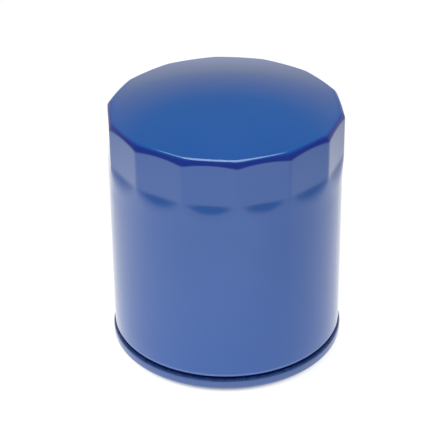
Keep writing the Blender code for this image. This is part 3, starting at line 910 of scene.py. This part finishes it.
def make_end_cap(tin, node, hole, facing):
    """Pressed cap with a rim turned towards the paper and a shallow ring embossed in its face."""
    cap = Extent(node)
    half = CAP_SHEET / 2
    edge = cap.radius - half
    if facing > 0:
        level, tip = cap.bottom + half, cap.top
    else:
        level, tip = cap.top - half, cap.bottom
    path = [(hole, level), (hole + 1.0, level)]
    for i in range(13):
        bead = 0.5 - 0.5 * math.cos(math.tau * i / 12)
        path.append((CAP_BEAD - 1.2 + 0.2 * i, level + facing * CAP_BEAD_DEPTH * bead))
    path += arc((edge - 1.0, level + facing), 1.0, -90 * facing, 0, 8)
    path += [(edge, level + facing * 2.5), (edge, tip)]
    turned(node + "_pressing", sheet(path, CAP_SHEET), tin, "element", node, sharp=50)


def make_bond(plastisol, node, facing):
    """Cured adhesive that creeps up between the pleats in a wavy meniscus."""
    bond = Extent(node)
    outline = box_outline(BOND_INNER, bond.radius, bond.bottom, bond.top)
    outline = subdivided(fillet(outline, 0.4, steps=4), 0.8)

    def creeping(angle, radius, height):
        level = (height - bond.bottom) / bond.height
        if facing < 0:
            level = 1 - level
        ripple = 0.5 - 0.5 * math.cos(PLEATS * angle)
        sink = 0.22 * ripple * smoothstep((radius - BOND_INNER) / 4) * smoothstep(level)
        return radius, height - facing * sink

    turned(node + "_resin", outline, plastisol, "element", node, PLEATS * 8, creeping)


def tube_hole_cutter():
    """Drill bit along +X that a wall on +X is pierced with."""
    outline = box_outline(0.0, TUBE_HOLE_RADIUS, -3.0, 3.0)
    bit = loft("tube_hole_cutter", [outline] * 32, wrap_along=False)
    bit.transform(Matrix.Rotation(math.pi / 2, 4, "Y"))
    return bit


def make_center_tube(tin):
    """Perforated tube, with a flat lock seam down one side."""
    tube = Extent("center_tube")
    inner = tube.radius - TUBE_SHEET
    outline = fillet(box_outline(inner, tube.radius, tube.bottom, tube.top), 0.15, steps=3)

    def seamed(angle, radius, height):
        """The lock seam stands a little inward, between two columns of holes."""
        away = abs(math.remainder(angle - TUBE_SEAM, math.tau)) * tube.radius
        return radius - 0.3 * (1 - smoothstep((away - 0.5) / 0.3)), height

    mesh = lathe("perforated_tube", outline, 2 * ROUND_STEPS, seamed)
    media = Extent("pleated_media")
    row_step = media.height / (TUBE_HOLE_ROWS + 0.5)
    bits = []
    for row in range(TUBE_HOLE_ROWS):
        height = media.bottom + row_step * (row + 0.75)
        bits += ring_of(tube_hole_cutter(), TUBE_HOLES_PER_ROW, inner, height, 0.5 * (row % 2))
    mesh = drill(mesh, bits)
    fit(make_object("perforated_tube", mesh, tin, 40), "element", "center_tube")


def make_pleated_media(paper):
    """Folded paper: one closed ribbon whose tips are rounded and whose flanks bow a little."""
    media = Extent("pleated_media")
    half = PAPER / 2
    folds = ((PLEAT_OUTER - half, PLEAT_TIP_HALF), (PLEAT_INNER + half, PLEAT_VALLEY_HALF))
    corners = []
    for i in range(2 * PLEATS):
        radius, reach = folds[i % 2]
        for side in (-reach, reach):
            angle = math.pi * i / PLEATS + math.asin(side / radius)
            corners.append((radius * math.cos(angle), radius * math.sin(angle)))
    middle_line = subdivided(fillet(corners, 0.55, steps=5), 2.0)
    outside = offset(middle_line, -half, closed=True)
    inside = offset(middle_line, half, closed=True)
    heights = [media.bottom + media.height * level / PLEAT_LEVELS for level in range(PLEAT_LEVELS + 1)]
    points = []
    for outer, inner in zip(outside, inside):
        for (x, y), column in ((outer, heights), (inner, heights[::-1])):
            reach = math.hypot(x, y)
            flank = max(1 - abs(reach - 24) / 6, 0.0) * PLEAT_BOW
            for height in column:
                lean = flank * math.sin(height * 0.35 + math.atan2(y, x) * 9) / reach
                points.append((x - y * lean, y + x * lean, height))
    mesh = mesh_from("pleated_paper", points, grid_faces(len(outside), 2 * len(heights), True))
    fit(make_object("pleated_paper", mesh, paper, 60), "element", "pleated_media")


def extruded(name, outline, bottom, top):
    """Prism over a closed outline of (x, y) points."""
    return capped(name, [(x, y, z) for x, y in outline for z in (bottom, top)], len(outline))


def make_media_seam_clip(tin):
    """Folded strip that grips the pleat on +X, with rounded bends."""
    clip = Extent("media_seam_clip")
    half = CLIP_SHEET / 2
    side = PLEAT_TIP_HALF + PAPER / 2 + GAP + half
    back = clip.radius - half
    legs = clip.radius - CLIP_LEG
    path = [(legs, -side)]
    path += arc((back - 0.4, -side + 0.4), 0.4, -90, 0, 5)
    path += arc((back - 0.4, side - 0.4), 0.4, 0, 90, 5)
    path.append((legs, side))
    mesh = extruded("seam_strip", sheet(path, CLIP_SHEET), clip.bottom, clip.top)
    fit(make_object("seam_strip", mesh, tin, 40), "element", "media_seam_clip")


# ---- by-pass valve

def make_bypass_body(tin):
    """Flanged cup that hangs in the upper end cap, with the valve's seat as its floor."""
    body = Extent("bypass_body")
    half = BYPASS_SHEET / 2
    wall = BYPASS_CUP_RADIUS - half
    flange = body.top - half
    floor = body.bottom + half
    path = [(body.radius, flange)]
    path += arc((wall + 0.6, flange - 0.6), 0.6, 90, 180, 7)
    path += arc((wall - 0.6, floor + 0.6), 0.6, 0, -90, 7)
    path += [(BYPASS_SEAT_RADIUS + 0.8, floor), (BYPASS_SEAT_RADIUS, floor)]
    turned("bypass_cup", sheet(path, BYPASS_SHEET), tin,
           "element", "bypass_body", SMALL_STEPS, sharp=50)


def make_bypass_seal(rubber):
    seal = Extent("bypass_seal")
    outline = fillet(box_outline(STEM_RADIUS + GAP, seal.radius, seal.bottom, seal.top), 0.25, steps=4)
    turned("bypass_disc", subdivided(outline, 0.6), rubber,
           "bypass_valve", "bypass_seal", SMALL_STEPS)


def make_bypass_poppet(tin):
    """Turned backing plate with a short hub under it and a shallow ring groove."""
    plate = Extent("bypass_poppet")
    hole = STEM_RADIUS + GAP
    disc = plate.bottom + 1.2
    outside = [
        (hole, plate.top), (plate.radius, plate.top), (plate.radius, disc), (8.6, disc),
        (8.3, disc + 0.25), (7.7, disc + 0.25), (7.4, disc), (hole + 2.6, disc),
        (hole + 2.0, plate.bottom), (hole, plate.bottom),
    ]
    turned("poppet_plate", fillet(outside, 0.2, steps=4), tin,
           "bypass_valve", "bypass_poppet", SMALL_STEPS, sharp=50)


def make_bypass_stem(tin):
    """Pin with a domed rivet head above the seal and a chamfered tip."""
    stem = Extent("bypass_stem")
    head = stem.top - 1.0
    dome = [(stem.radius * math.sin(a), head + 0.25 + 0.75 * math.cos(a)) for a in
            (math.radians(9 * i) for i in range(11))]
    outline = dome + [
        (stem.radius, head), (STEM_RADIUS + 0.15, head), (STEM_RADIUS, head - 0.15),
        (STEM_RADIUS, stem.bottom + 0.5), (STEM_RADIUS - 0.5, stem.bottom), (0.0, stem.bottom),
    ]
    mesh = loft("guide_stem", [outline] * 48, wrap_along=False)
    fit(make_object("guide_stem", mesh, tin, 40), "bypass_valve", "bypass_stem")


def make_bypass_cage(tin):
    """Cup under the seat that holds the valve's spring, with four rounded windows."""
    cage = Extent("bypass_cage")
    half = BYPASS_SHEET / 2
    top = cage.top - half
    wall = CAGE_WALL_RADIUS - half
    floor = cage.bottom + half
    path = [(cage.radius, top), (wall + 0.5, top)]
    path += arc((wall - 0.8, floor + 0.8), 0.8, 0, -90, 8)
    path += [(6.0, floor), (STEM_RADIUS + GAP + 0.1, floor)]
    mesh = lathe("valve_cage", sheet(path, BYPASS_SHEET), SMALL_STEPS)
    window = fillet(box_outline(-4.8, 4.8, cage.bottom + 2.5, cage.top - 3.0), 0.8)
    block = extruded("cage_window_cutter", window, -3.0, 3.0)
    block.transform(Matrix(((0, 0, 1, 0), (1, 0, 0, 0), (0, 1, 0, 0), (0, 0, 0, 1))))
    mesh = drill(mesh, ring_of(block, CAGE_WINDOWS, CAGE_WALL_RADIUS))
    fit(make_object("valve_cage", mesh, tin, 40), "element", "bypass_cage")


# ---- studio and camera

VIEW_AZIMUTH = 7.557  # degrees round from the front, towards +X
VIEW_ELEVATION = 30.77
VIEW_DISTANCE = 0.5631
CAMERA_HEIGHT = 0.04435  # the camera looks at this point of the can's axis
VIEW_ROLL = -0.462
LENS = 136.5
SHIFT = (-0.0045, -0.0167)
FLOOR_HALF = 1.8
FLOOR_GLOW = 0.89
FLOOR_DIM = 0.32  # share of the glow that is left far off
FLOOR_BRIGHT_AT = -0.06  # the bright round patch lies this far in front of the object
FLOOR_BRIGHT_FADE = (0.13, 0.30)
FLOOR_LANE = 0.0775  # half width of the bright lane behind the object
FLOOR_LANE_SPREAD = 0.113  # the lane widens by this much for each metre back
FLOOR_LANE_SOFT = (0.012, 0.08, 0.5)  # its edge's width, and from where and how that grows
FLOOR_LANE_ENDS = ((-0.20, -0.12), (0.30, 0.60))
FLOOR_FRONT = (-0.09, 0.0, 1.36)  # the floor is brighter in front of the object,
FLOOR_FRONT_TURN = 35  # and this many degrees round to the left of there
FLOOR_CONTACT = (0.0345, 0.0376)  # painted contact shadow: the floor gives no light nearer to the axis than this
WORLD_HORIZON = ((4, 0.50), (10, 0.30))  # degrees up and radiance, all round but for the front
WORLD_ABOVE = (32, 50, 0.06)
WORLD_FRONT = (0.2, 0.6, 0.1, 1.0)  # from and to this far back, the share grows as given
DARK_SPOT_ELEVATION = 36  # the light behind the object grows away from here, as sine
LIGHT_FROM_SPOT = (
    (0.00, (0.18, 0.21, 0.15)), (0.07, (0.16, 0.18, 0.09)), (0.15, (0.17, 0.20, 0.07)),
    (0.18, (0.27, 0.25, 0.04)), (0.22, (0.45, 0.35, 0.05)), (0.25, (0.57, 0.48, 0.06)),
    (0.28, (0.82, 0.67, 0.14)), (0.33, (0.98, 0.90, 0.56)), (0.41, (0.86, 0.85, 0.82)),
)
SPOT_STRETCH = 1.15  # the light grows this much faster sideways than downward
SPOT_WINDOW = (0.12, 0.22)  # sideways reach of that light
SPOT_UPPER = (0.65, 0.85)  # and the height over which it stops narrowing
WORLD_STRENGTH = 1.13


def view_back(azimuth, elevation):
    """Unit vector from the object towards a camera, or a lamp, at an azimuth and elevation."""
    a, e = math.radians(azimuth), math.radians(elevation)
    return Vector((math.sin(a) * math.cos(e), -math.cos(a) * math.cos(e), math.sin(e)))


def sine(degrees):
    return math.sin(math.radians(degrees))


def level_axis(turn):
    """Level unit vector away from the camera, turned to its right by some degrees."""
    angle = math.radians(VIEW_AZIMUTH - turn)
    return (-math.sin(angle), math.cos(angle), 0)


def aim(obj, toward):
    obj.rotation_euler = (toward - obj.location).to_track_quat("-Z", "Y").to_euler()


def make_floor():
    """Round pale floor that glows with painted light, white round the object and behind it and dimmer far
    in front of it, with a painted contact shadow under the can.
    """
    surface = Surface("pale_floor", 0.0, 1.0)
    surface.set("Specular IOR Level", 0.0)
    surface.set("Base Color", (0.3, 0.3, 0.3, 1.0))
    surface.set("Emission Color", (1.0, 1.0, 1.0, 1.0))
    aside = surface.math("ABSOLUTE", surface.along(level_axis(90)))
    depth = surface.along(level_axis(0))
    reach = surface.distance(aside, surface.minus(depth, FLOOR_BRIGHT_AT))
    patch = surface.between(reach, *FLOOR_BRIGHT_FADE, 1.0, FLOOR_DIM)
    lane_edge = surface.plus(surface.times(depth, FLOOR_LANE_SPREAD), FLOOR_LANE)
    least, start, growth = FLOOR_LANE_SOFT
    far = surface.math("MAXIMUM", surface.minus(depth, start), 0.0)
    soft = surface.plus(surface.times(far, growth), least)
    beside = surface.math("DIVIDE", surface.minus(aside, lane_edge), soft)
    (near, full), (fade, gone) = FLOOR_LANE_ENDS
    lane = surface.times(surface.between(depth, near, full), surface.between(depth, fade, gone, 1.0, 0.5))
    lane = surface.times(lane, surface.between(beside, 0.0, 1.0, 1.0, 0.0))
    glow = surface.times(surface.math("MAXIMUM", patch, lane), FLOOR_GLOW)
    start, end, share = FLOOR_FRONT
    toward = surface.along(level_axis(FLOOR_FRONT_TURN))
    glow = surface.times(glow, surface.between(toward, start, end, share, 1.0))
    # painted contact shadow: the glow fades out under the can's edge
    glow = surface.times(glow, surface.between(surface.radius(), *FLOOR_CONTACT))
    surface.join(glow, "Emission Strength")
    mesh = bpy.data.meshes.new("studio_floor")
    made = bmesh.new()
    bmesh.ops.create_circle(made, cap_ends=True, segments=96, radius=FLOOR_HALF)
    made.to_mesh(mesh)
    made.free()
    floor = make_object("studio_floor", mesh, surface.material)


def make_lamp(name, azimuth, elevation, size, power, distance, colour=(1, 1, 1)):
    """Square softbox that lights the object but isn't mirrored in it."""
    lamp = bpy.data.lights.new(name, "AREA")
    lamp.shape = "RECTANGLE"
    lamp.size, lamp.size_y = size
    lamp.energy = power
    lamp.color = colour
    obj = add(name, lamp)
    middle = Vector((0, 0, (cad_low.z + cad_high.z) / 2))
    obj.location = middle + view_back(azimuth, elevation) * distance
    aim(obj, middle)
    obj.visible_glossy = False
    obj.visible_camera = False
    return obj


def make_card(name, azimuth, elevation, size, radiance, distance, colour):
    """Bright card that is only mirrored in glossy surfaces."""
    power = radiance * size[0] * size[1] * math.pi
    card = make_lamp(name, azimuth, elevation, size, power, distance, colour)
    card.visible_glossy = True
    card.visible_diffuse = False
    return card


def make_world():
    """Dark surroundings with a pale horizon, and a warm light low behind the object.

    The light only depends on the direction looked in. Limits are sines of elevations."""
    world = bpy.data.worlds.new("studio")
    sky = Nodes(world, "Background", "Generated")
    up = sky.along((0, 0, 1))
    sideways = sky.along(level_axis(90))
    behind = sky.along(level_axis(0))
    (low, pale), (high, dark) = WORLD_HORIZON
    horizon = sky.between(up, sine(low), sine(high), pale, dark)
    start, end, least = WORLD_ABOVE
    horizon = sky.times(horizon, sky.between(up, sine(start), sine(end), 1.0, least / dark))
    horizon = sky.times(horizon, sky.between(behind, *WORLD_FRONT))
    below = sky.math("MINIMUM", sky.minus(up, sine(DARK_SPOT_ELEVATION)), 0.0)
    aside = sky.times(sideways, SPOT_STRETCH)
    aside = sky.times(aside, sky.between(up, *SPOT_UPPER, 1.0, 0.0))
    ramp = sky.node("ShaderNodeValToRGB", {"Fac": sky.distance(below, aside)})
    elements = ramp.color_ramp.elements
    for element, stop in zip(elements, (LIGHT_FROM_SPOT[0], LIGHT_FROM_SPOT[-1])):
        element.position = stop[0]
        element.color = (*stop[1], 1.0)
    for position, colour in LIGHT_FROM_SPOT[1:-1]:
        elements.new(position).color = (*colour, 1.0)
    inside = sky.between(sky.math("ABSOLUTE", sideways), *SPOT_WINDOW, 1.0, 0.0)
    inside = sky.times(inside, sky.between(behind, 0.0, 0.2))
    sky.join(sky.mix(inside, horizon, ramp.outputs["Color"]), "Color")
    sky.set("Strength", WORLD_STRENGTH)
    bpy.context.scene.world = world


def make_camera():
    camera = bpy.data.cameras.new("camera")
    camera.lens = LENS
    camera.sensor_width = 36.0
    camera.shift_x, camera.shift_y = SHIFT
    camera.clip_end = 20.0
    obj = add("camera", camera)
    middle = Vector((0, 0, CAMERA_HEIGHT))
    obj.location = middle + view_back(VIEW_AZIMUTH, VIEW_ELEVATION) * VIEW_DISTANCE
    aim(obj, middle)
    obj.rotation_euler.rotate_axis("Z", math.radians(VIEW_ROLL))
    bpy.context.scene.camera = obj


# ---- build

blue_enamel = enamel()
make_can(blue_enamel)
make_seaming_cover(seam_enamel())
make_seam_sealant(seam_compound())
make_tapping_plate(turned_steel())
black_rubber = moulded_rubber("black_nitrile", (0.012, 0.012, 0.012), (0.045, 0.045, 0.045), 0.5)
make_gasket(black_rubber)

orange_rubber = moulded_rubber("orange_silicone", (0.34, 0.06, 0.015), (0.46, 0.12, 0.04), 0.5)
spring_wire = drawn_wire()
make_anti_drainback_valve(orange_rubber)
make_hold_down_spring(spring_wire)
make_bypass_spring(spring_wire)

tin_plate = tinned_steel()
plastisol = cured_plastisol()
make_spring_seat(tin_plate)
make_end_cap(tin_plate, "lower_end_cap", LOWER_CAP_HOLE, 1)
make_end_cap(tin_plate, "upper_end_cap", UPPER_CAP_HOLE, -1)
make_bond(plastisol, "lower_bond", 1)
make_bond(plastisol, "upper_bond", -1)
make_center_tube(tin_plate)
make_pleated_media(resin_paper())
make_media_seam_clip(tin_plate)

make_bypass_body(tin_plate)
make_bypass_seal(black_rubber)
make_bypass_poppet(tin_plate)
make_bypass_stem(tin_plate)
make_bypass_cage(tin_plate)

make_floor()
make_world()
make_lamp("overhead_softbox", 0, 88, (0.5, 0.5), 1.15, 0.33)
make_card("strip_card", 181.3 + VIEW_AZIMUTH, 64.6, (0.35, 0.72), 4.3, 1.0, (0.74, 0.98, 1.0))
make_camera()
bpy.context.scene.view_settings.view_transform = "Standard"
